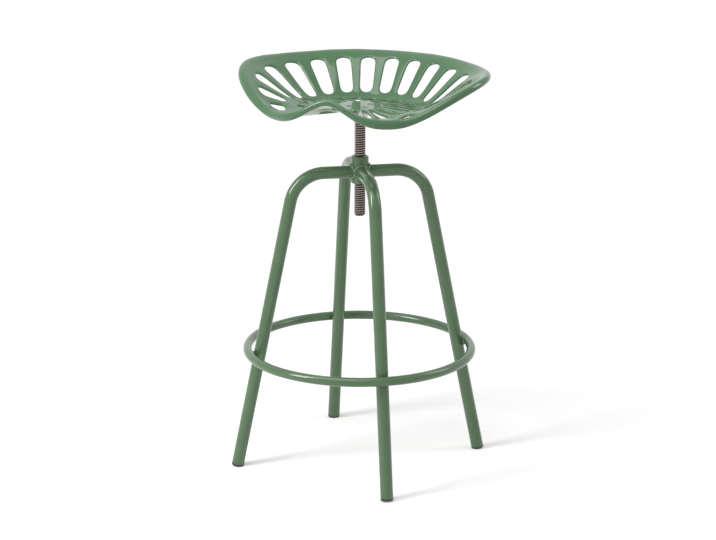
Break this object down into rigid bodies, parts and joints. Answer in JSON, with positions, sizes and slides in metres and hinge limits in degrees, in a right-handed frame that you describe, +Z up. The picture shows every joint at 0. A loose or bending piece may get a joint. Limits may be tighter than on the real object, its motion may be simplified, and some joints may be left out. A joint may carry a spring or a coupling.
{
  "type": "tractor seat stool",
  "caption": "Bar stool with a pierced cast tractor seat that turns on a lead screw to set its height, on splayed tube legs tied by a foot ring.",
  "frame": {"origin": "on the floor, midway between the feet, under the axis of the lead screw", "axes": "+Z up along the lead screw; the seat's nose points to -Y, its back to +Y"},
  "size_m": [0.45, 0.413, 0.7095],
  "materials": {
    "frame_green": "satin green paint on steel tube",
    "weld_green": "satin green paint over weld beads",
    "seat_green": "glossy green enamel paint on cast iron",
    "screw_steel": "dark oiled steel",
    "bolt_steel": "zinc plated steel",
    "plug_black": "matt black plastic",
    "rubber_black": "black rubber"
  },
  "bodies": {
    "base": {"hub": "frame_green", "foot_ring": "frame_green", "leg_back_right": "frame_green", "foot_plug_back_right": "plug_black", "hub_weld_back_right": "weld_green", "ring_weld_back_right": "weld_green", "leg_back_left": "frame_green", "foot_plug_back_left": "plug_black", "hub_weld_back_left": "weld_green", "ring_weld_back_left": "weld_green", "leg_front_left": "frame_green", "foot_plug_front_left": "plug_black", "hub_weld_front_left": "weld_green", "ring_weld_front_left": "weld_green", "leg_front_right": "frame_green", "foot_plug_front_right": "plug_black", "hub_weld_front_right": "weld_green", "ring_weld_front_right": "weld_green"},
    "lift": {"stop_ring": "rubber_black"},
    "seat": {"lead_screw": "screw_steel", "mounting_plate": "screw_steel", "plate_weld": "screw_steel", "seat": "seat_green", "seat_bolt_1": "bolt_steel", "bolt_washer_1": "bolt_steel", "bolt_nut_1": "bolt_steel", "seat_bolt_2": "bolt_steel", "bolt_washer_2": "bolt_steel", "bolt_nut_2": "bolt_steel", "seat_bolt_3": "bolt_steel", "bolt_washer_3": "bolt_steel", "bolt_nut_3": "bolt_steel", "seat_bolt_4": "bolt_steel", "bolt_washer_4": "bolt_steel", "bolt_nut_4": "bolt_steel"}
  },
  "joints": [
    {"name": "seat_lift", "type": "slide", "parent": "base", "child": "lift", "axis": [0, 0, 1], "range_m": [-0.06, 0.048]},
    {"name": "seat_turn", "type": "hinge", "parent": "lift", "child": "seat", "pos_m": [0, 0, 0.526], "axis": [0, 0, 1], "range_deg": [-5400, 4320]}
  ],
  "couplings": [
    {"joint": "seat_lift", "follows": "seat_turn", "m_per_rad": 0.00063662}
  ]
}
